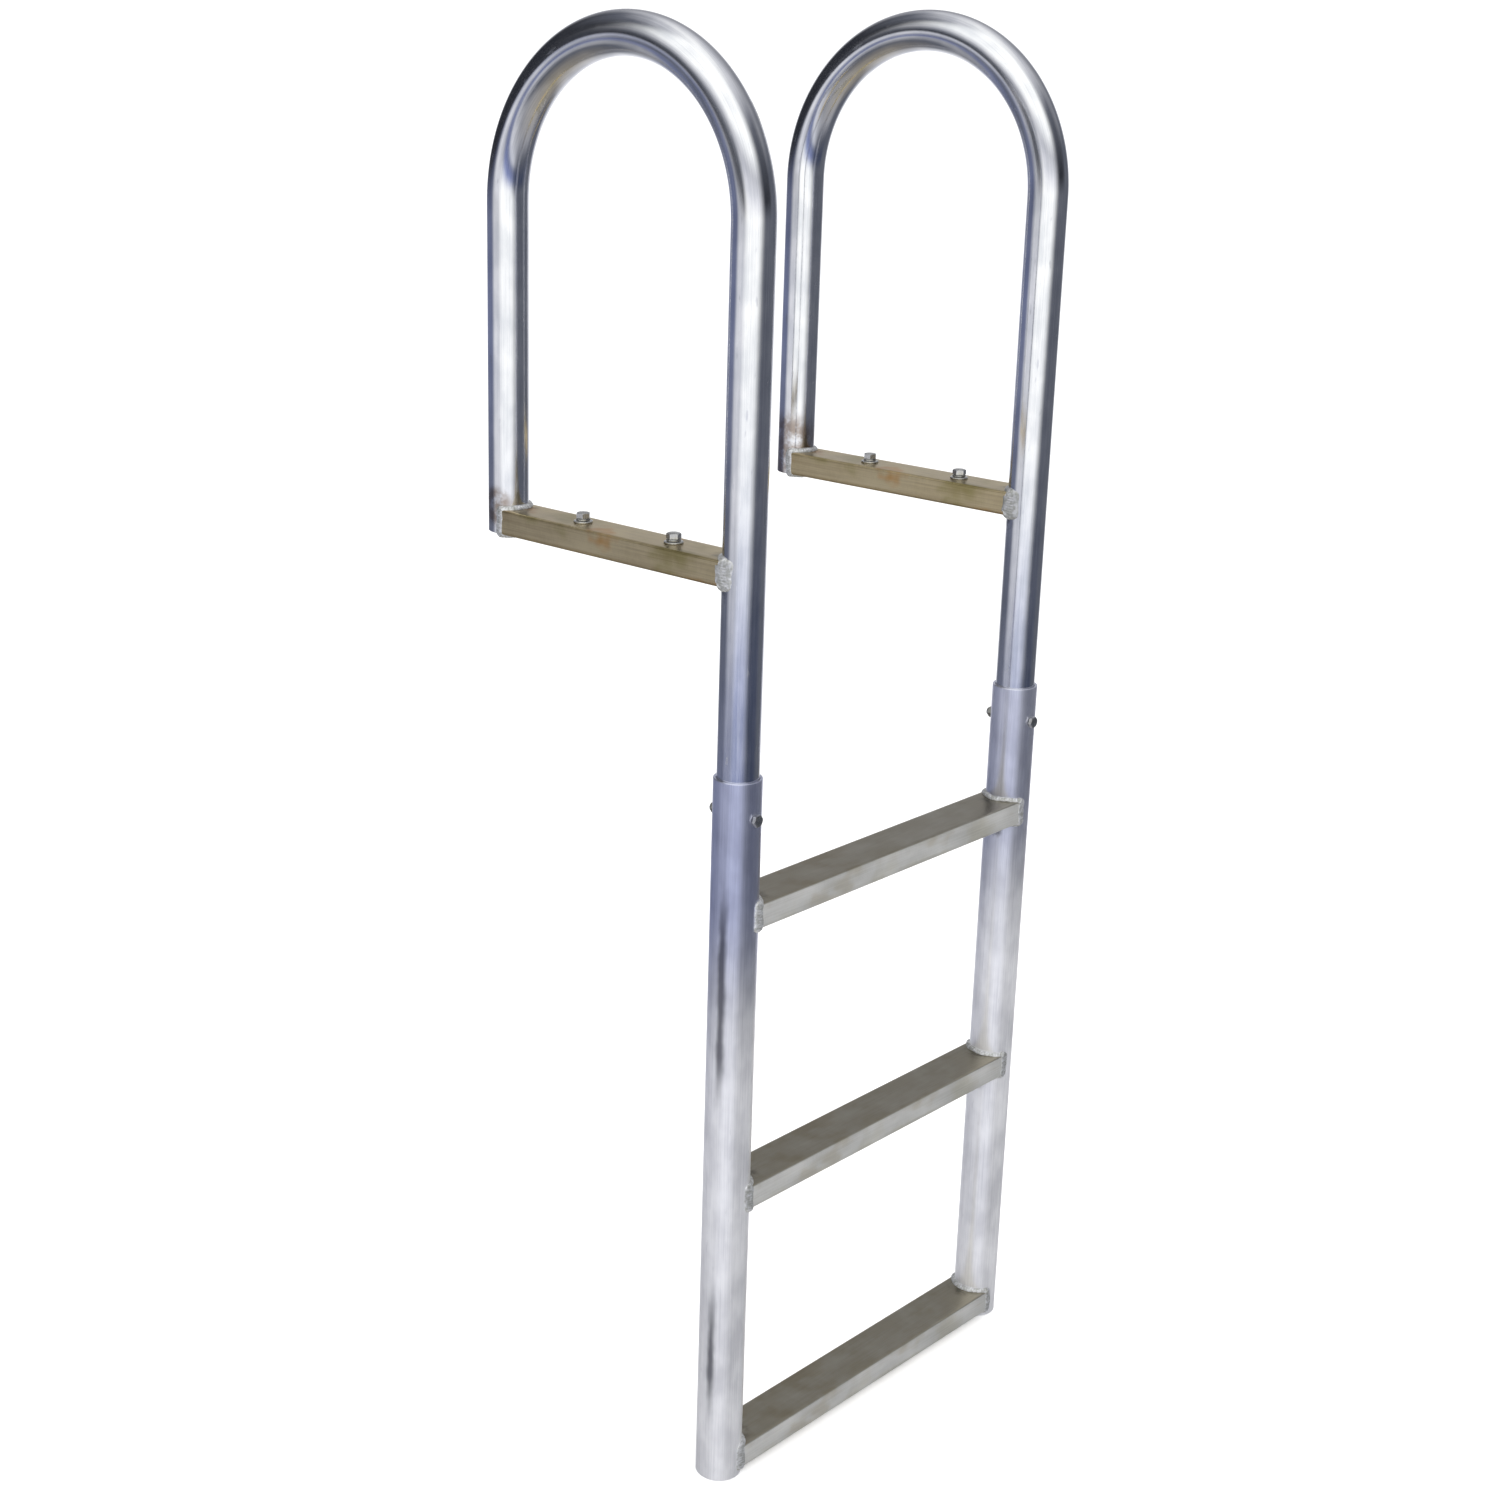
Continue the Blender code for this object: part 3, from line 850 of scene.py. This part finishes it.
def fastener_metal(name, seed):
    """Stainless steel: a fine grain, faint patches, and brighter edges where it is worn."""
    material, graph, shader = new_material(name)
    place = graph.place()
    grain = graph.noise(place, scale=1500, stretch=(1, 1, 1), detail=3, rough=0.55, seed=seed)
    patch = graph.noise(place, scale=180, stretch=(1, 1, 1), detail=4, rough=0.6, seed=seed + 6)
    pointiness = graph.node("ShaderNodeNewGeometry").outputs["Pointiness"]
    worn = graph.smooth(pointiness, 0.50, 0.60)
    colour = graph.mix(graph.smooth(patch, 0.35, 0.68), linear("a4a4a0"), linear("cacac6"))
    colour = graph.mix(worn, colour, linear("ececea"))
    graph.feed(shader.inputs["Base Color"], colour)
    graph.feed(shader.inputs["Roughness"], graph.smooth(grain, 0.3, 0.7, 0.24, 0.42))
    bump(graph, shader, grain, strength=0.12, distance=0.0002)
    return material


# ---------------------------------------------------------------- studio

# The room that the metal mirrors: its tones
TONES = {
    "white": "fbfcfa",
    "pale": "dcdde2",
    "silver": "bcbdc2",
    "grey": "909196",
    "blue": "7884b2",
    "dusk": "6c7390",
    "slate": "585b64",
    "navy": "343c52",
    "ink": "26282e",
    "tan": "9a9282",
}
# The tones up each part of the room, as (elevation in degrees, tone)
ROOM = {
    "back": (
        (-90, "tan"), (-36, "silver"), (-20, "pale"), (8, "pale"), (17, "grey"), (34, "grey"),
        (52, "silver"), (90, "white"),
    ),
    "left": (
        (-90, "tan"), (-42, "slate"), (-34, "grey"), (-29, "grey"), (-24, "dusk"), (-14, "slate"),
        (-7, "dusk"), (-1, "ink"), (12, "ink"), (28, "ink"), (48, "slate"), (68, "silver"),
        (90, "white"),
    ),
    "edge": (
        (-90, "tan"), (-42, "slate"), (-34, "grey"), (-28, "silver"), (-24, "dusk"), (-18, "dusk"),
        (-14, "silver"), (-6, "pale"), (-1, "ink"), (9, "slate"), (20, "silver"), (34, "white"),
        (90, "white"),
    ),
    "front": (
        (-90, "tan"), (-44, "grey"), (-33, "silver"), (-28, "pale"), (-24, "dusk"), (-18, "blue"),
        (-11, "white"), (-3, "white"), (4, "pale"), (16, "silver"), (28, "white"), (90, "white"),
    ),
    "right": (
        (-90, "tan"), (-44, "grey"), (-30, "slate"), (-18, "navy"), (-11, "slate"),
        (-3, "slate"), (6, "ink"), (40, "slate"), (60, "silver"), (90, "white"),
    ),
    "far": (
        (-90, "tan"), (-44, "slate"), (-12, "slate"), (14, "slate"), (40, "grey"),
        (60, "silver"), (90, "white"),
    ),
}
# Where each part starts to show and where it has taken over, in degrees round from the seam.
# The seam lies inside "back".
ROOM_SEAM = 120
ROOM_ORDER = (
    ("left", 20, 48),
    ("edge", 94, 120),
    ("front", 138, 166),
    ("right", 212, 254),
    ("far", 272, 302),
    ("back", 326, 356),
)
# Below the horizon the front gives way to the right this much sooner, all in degrees
ROOM_LEAN = 16
ROOM_LEAN_STARTS = -6
ROOM_LEAN_FULL = -17
ROOM_STRENGTH = 1.2
PLAIN_STRENGTH = 1.15
FLOOR_GLOW = 0.2
FLOOR_REACH = 40


def ramp(graph, share, stops):
    """The tones from straight down, at share 0, to straight up, at share 1."""
    made = graph.node("ShaderNodeValToRGB")
    graph.feed(made.inputs[0], share)
    elements = made.color_ramp.elements
    while len(elements) < len(stops):
        elements.new(1.0)
    for element, (degrees, tone) in zip(elements, stops):
        element.position = (degrees + 90) / 180
        element.color = linear(TONES[tone])
    return made.outputs[0]


def make_world():
    """White all round for the eye and for the floor, and a furnished room for the metal to mirror."""
    world = bpy.data.worlds.new("studio")
    bpy.context.scene.world = world
    world.use_nodes = True
    graph = Graph(world.node_tree)
    world.node_tree.nodes.clear()
    x, y, z = graph.parts(graph.node("ShaderNodeTexCoord").outputs["Generated"])
    height = graph.maths("ARCSINE", z)
    share = graph.maths("MULTIPLY_ADD", height, 1 / math.pi, 0.5)
    azimuth = graph.maths("ARCTAN2", x, graph.maths("MULTIPLY", y, -1.0))
    azimuth = graph.maths("SUBTRACT", azimuth, math.radians(ROOM_SEAM))
    azimuth = graph.maths("WRAP", azimuth, 2 * math.pi, 0.0)
    full, starts = math.radians(ROOM_LEAN_FULL), math.radians(ROOM_LEAN_STARTS)
    lean = graph.smooth(height, full, starts, math.radians(ROOM_LEAN), 0.0)
    leaning = graph.maths("ADD", azimuth, lean)
    colour = ramp(graph, share, ROOM["back"])
    for name, start, end in ROOM_ORDER:
        turned = leaning if name == "right" else azimuth
        weight = graph.smooth(turned, math.radians(start), math.radians(end))
        colour = graph.mix(weight, colour, ramp(graph, share, ROOM[name]))
    mirrored = graph.node("ShaderNodeBackground")
    graph.feed(mirrored.inputs["Color"], colour)
    mirrored.inputs["Strength"].default_value = ROOM_STRENGTH
    plain = graph.node("ShaderNodeBackground")
    plain.inputs["Color"].default_value = (1, 1, 1, 1)
    plain.inputs["Strength"].default_value = PLAIN_STRENGTH
    choose = graph.node("ShaderNodeMixShader")
    graph.feed(choose.inputs[0], graph.node("ShaderNodeLightPath").outputs["Is Glossy Ray"])
    graph.feed(choose.inputs[1], plain.outputs[0])
    graph.feed(choose.inputs[2], mirrored.outputs[0])
    out = graph.node("ShaderNodeOutputWorld")
    graph.feed(out.inputs["Surface"], choose.outputs[0])


def make_floor():
    mesh = bpy.data.meshes.new("floor")
    form = bmesh.new()
    bmesh.ops.create_grid(form, x_segments=1, y_segments=1, size=FLOOR_REACH)
    form.to_mesh(mesh)
    form.free()
    floor = bpy.data.objects.new("floor", mesh)
    bpy.context.scene.collection.objects.link(floor)
    floor.location.z = CAD_BOX[0].z
    material = bpy.data.materials.new("pale_floor")
    material.use_nodes = True
    shader = material.node_tree.nodes["Principled BSDF"]
    shader.inputs["Base Color"].default_value = (0.92, 0.92, 0.92, 1)
    shader.inputs["Roughness"].default_value = 0.9
    shader.inputs["Specular IOR Level"].default_value = 0.0
    shader.inputs["Emission Color"].default_value = (1, 1, 1, 1)
    shader.inputs["Emission Strength"].default_value = FLOOR_GLOW
    mesh.materials.append(material)
    floor.visible_glossy = False


def make_light(name, place, target, size, power):
    data = bpy.data.lights.new(name, "AREA")
    data.shape = "RECTANGLE"
    data.size, data.size_y = size
    data.energy = power
    light = bpy.data.objects.new(name, data)
    light.location = place
    aim = Vector(target) - Vector(place)
    light.rotation_euler = aim.to_track_quat("-Z", "Y").to_euler()
    light.visible_glossy = False
    bpy.context.scene.collection.objects.link(light)


def make_camera():
    data = bpy.data.cameras.new("camera")
    data.sensor_width = 36
    data.lens = CAMERA_LENS
    data.shift_x, data.shift_y = CAMERA_SHIFT
    camera = bpy.data.objects.new("camera", data)
    bpy.context.scene.collection.objects.link(camera)
    forward = Vector((
        math.sin(CAMERA_YAW) * math.cos(CAMERA_PITCH),
        math.cos(CAMERA_YAW) * math.cos(CAMERA_PITCH),
        -math.sin(CAMERA_PITCH),
    ))
    level = Vector((math.cos(CAMERA_YAW), -math.sin(CAMERA_YAW), 0))
    lift = level.cross(forward)
    right = math.cos(CAMERA_ROLL) * level + math.sin(CAMERA_ROLL) * lift
    above = right.cross(forward)
    turn = Matrix((right, above, -forward)).transposed().to_4x4()
    camera.matrix_world = Matrix.Translation(CAMERA_PLACE) @ turn
    bpy.context.scene.camera = camera


# ---------------------------------------------------------------- the ladder

def deck_joint_spots(spots, side):
    """Soot under the joints of a deck bar and on the bar's ends, and a heat mark above its back joint."""
    bar = deck_bar(side)
    reach = bar.tube_radius * 0.95
    outward = Vector((-1, 0, 0))
    for point, ahead in ((bar.start, 1), (bar.end, -1)):
        joint = Vector(point)
        beside = joint + outward * reach * 0.8 + Vector((0, ahead * reach * 0.6, 0))
        under = beside + Vector((0, 0, -bar.height * 0.85))
        on_bar = joint + Vector((0, ahead * SOOT_AHEAD["deck_bar"], 0))
        spots["handrail"].append((under, SOOT_REACH["handrail"]))
        spots["deck_bar"].append((on_bar, SOOT_REACH["deck_bar"]))
    above = Vector(bar.end) + outward * reach + Vector((0, 0, bar.height * 0.6))
    spots["heat"].append((above, HEAT_REACH[side]))


def step_joint_spots(spots, name):
    """Soot on the rails under the joints of a step, and on the step's ends."""
    bar = step_bar(name)
    for point, ahead in ((bar.start, 1), (bar.end, -1)):
        joint = Vector(point)
        under = joint + Vector((ahead * bar.tube_radius, 0, -bar.height * 0.8))
        on_bar = joint + Vector((ahead * SOOT_AHEAD["step"], 0, 0))
        spots["lower_rail"].append((under, SOOT_REACH["lower_rail"]))
        spots["step"].append((on_bar, SOOT_REACH["step"]))


def make_materials():
    spots = {"handrail": [], "heat": [], "deck_bar": [], "lower_rail": [], "step": []}
    for side in SIDES:
        deck_joint_spots(spots, side)
    for name in STEPS:
        step_joint_spots(spots, name)
    rail_marks = [(spots["lower_rail"], TUBE_SOOT)]
    rail = {"light": "f8f8fa", "dark": "dcdce0", "rough": (0.28, 0.33), "seed": 4.0, "marks": rail_marks}
    return {
        "handrail": drawn_tube(
            "bright_drawn_tube", light="fafafc", dark="dcdee4", reflected_tint="ffffff", rough=(0.11, 0.20),
            seed=0.0, marks=[(spots["handrail"], TUBE_SOOT), (spots["heat"], HEAT_MARK)],
            haze=(0.0, 0.0), drags=(),
        ),
        "rail_left": drawn_tube(
            "satin_drawn_tube_left", reflected_tint="e8ecff", haze=(0.05, 0.34), drags=LEFT_DRAGS, **rail
        ),
        "rail_right": drawn_tube(
            "satin_drawn_tube_right", reflected_tint="f2f4ff", haze=(0.10, 0.40), drags=(), **rail
        ),
        "step": extruded_bar(
            "mill_finish_step", light="f8f7f2", dark="dfded7", stained="f0eee6", rusty="f2eee6",
            top_shade_and_grime="a8a294", haze=0.30, rough=(0.28, 0.36), seed=9.0, spots=spots["step"],
        ),
        "deck_bar": extruded_bar(
            "mill_finish_bar", light="f4e2b6", dark="cab68c", stained="dee0c8", rusty="f4d4b2",
            top_shade_and_grime="e2e2e2", haze=0.0, rough=(0.28, 0.38), seed=14.0, spots=spots["deck_bar"],
        ),
        "weld": weld_metal("weld_bead", 21.0),
        "steel": fastener_metal("stainless", 30.0),
    }


def make_bar(bar, name, node, material):
    return finished(bar.mesh(name), body_of_node(node), "extruded_aluminium", material, node)


def make_deck_bar(side, materials):
    """One deck bar and the two welds that join it to its handrail."""
    bar = deck_bar(side)
    make_bar(bar, f"deck_plate_{side}", f"deck_bar_{side}", materials["deck_bar"])
    for end in DECK_ENDS:
        far = end == "back"
        seed = 1 + 2 * far + 10 * (side == "right")
        make_weld(f"deck_weld_{end}_{side}", bar, far, materials["weld"], seed, **DECK_WELDS[end])


def make_step(index, name, materials):
    """One step and the two welds that join it to the rails."""
    bar = step_bar(name)
    make_bar(bar, f"step_bar_{name}", f"step_{name}", materials["step"])
    for side in SIDES:
        far = side == "right"
        seed = 100 + 10 * index + far
        make_weld(f"step_weld_{name}_{side}", bar, far, materials["weld"], seed, **STEP_WELD)


def make_fasteners(side, steel):
    make_bolt(f"cross_bolt_{side}", (0, -1, 0), CROSS_SPIN, material=steel, **CROSS_BOLT)
    make_nut(f"cross_nut_{side}", (0, 1, 0), material=steel, **CROSS_NUT)
    for end in DECK_ENDS:
        spin = DECK_SPINS[end]
        make_bolt(f"deck_bolt_{end}_{side}", (0, 0, 1), spin, material=steel, **DECK_BOLT)
        make_washer(f"flat_washer_{end}_{side}", steel)
        make_lock_washer(f"lock_washer_{end}_{side}", spin, steel)


def make_ladder():
    materials = make_materials()
    for side in SIDES:
        make_handrail(side, materials["handrail"])
        make_lower_rail(side, materials[f"rail_{side}"])
        make_deck_bar(side, materials)
    for index, name in enumerate(STEPS):
        make_step(index, name, materials)
    for side in SIDES:
        make_fasteners(side, materials["steel"])


make_camera()
make_world()
make_floor()
make_light("key", place=(-2.2, -2.6, 2.8), target=(0, 0, -0.2), size=(2.2, 1.6), power=60)
make_ladder()
bpy.context.scene.view_settings.view_transform = "Standard"
